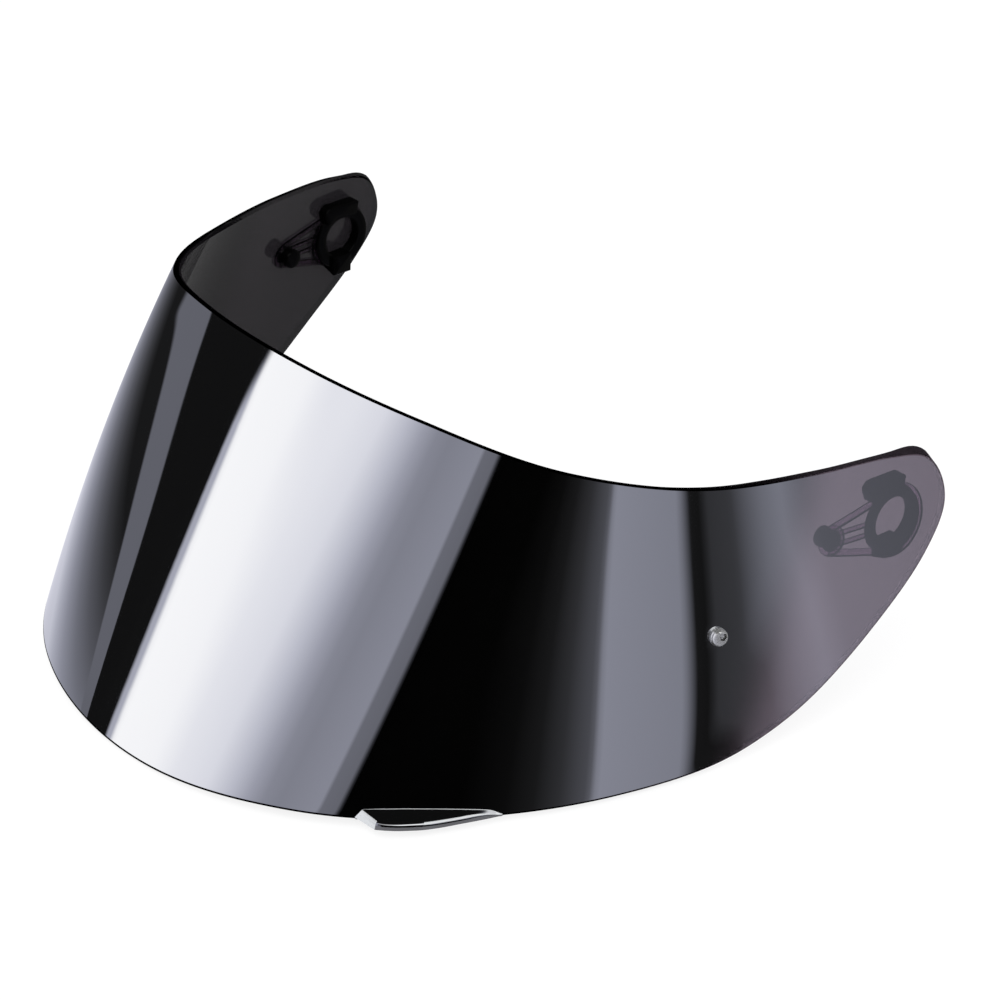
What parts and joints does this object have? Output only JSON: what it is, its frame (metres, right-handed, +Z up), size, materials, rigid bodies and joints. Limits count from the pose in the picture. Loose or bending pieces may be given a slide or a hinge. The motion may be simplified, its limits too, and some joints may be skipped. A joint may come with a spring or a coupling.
{
  "type": "motorcycle helmet visor",
  "caption": "Wrap-round smoked and mirrored helmet face shield with a pivot bracket inside each arm, eccentric insert pins and a lift tab on its lower edge.",
  "frame": {"origin": "on the table, at the middle of the footprint of the visor as it stands on its lower edge", "axes": "+X to the wearer's left across the visor, -Y out of its front, +Z up from the table; the visor is tipped back 17.7 degrees from the way it is worn"},
  "size_m": [0.24, 0.194, 0.099],
  "materials": {
    "shield": "smoke-tinted polycarbonate with a silver mirror coat outside and a hard clear coat inside, glossy",
    "tab": "smoke-tinted polycarbonate with the same mirror coat, glossy",
    "bracket": "dark smoke, nearly black, moulded gloss",
    "pin_metal": "bright turned stainless steel",
    "pin_post": "black moulded nylon, satin",
    "seal": "soft black silicone, matt"
  },
  "bodies": {
    "visor": {"visor_shield": "shield", "lift_tab": "tab", "left_pivot_bracket": "bracket", "right_pivot_bracket": "bracket", "left_pin_seal": "seal", "right_pin_seal": "seal"},
    "left_pin": {"left_pin_screw": "pin_metal", "left_pin_post": "pin_post"},
    "right_pin": {"right_pin_screw": "pin_metal", "right_pin_post": "pin_post"}
  },
  "joints": [
    {"name": "left_pin_turn", "type": "hinge", "parent": "visor", "child": "left_pin", "pos_m": [0.11023, 0.01671, 0.04038], "axis": [0.9527, -0.2648, 0.1495], "continuous": true},
    {"name": "right_pin_turn", "type": "hinge", "parent": "visor", "child": "right_pin", "pos_m": [-0.11023, 0.01671, 0.04038], "axis": [-0.9527, -0.2648, 0.1495], "continuous": true}
  ]
}
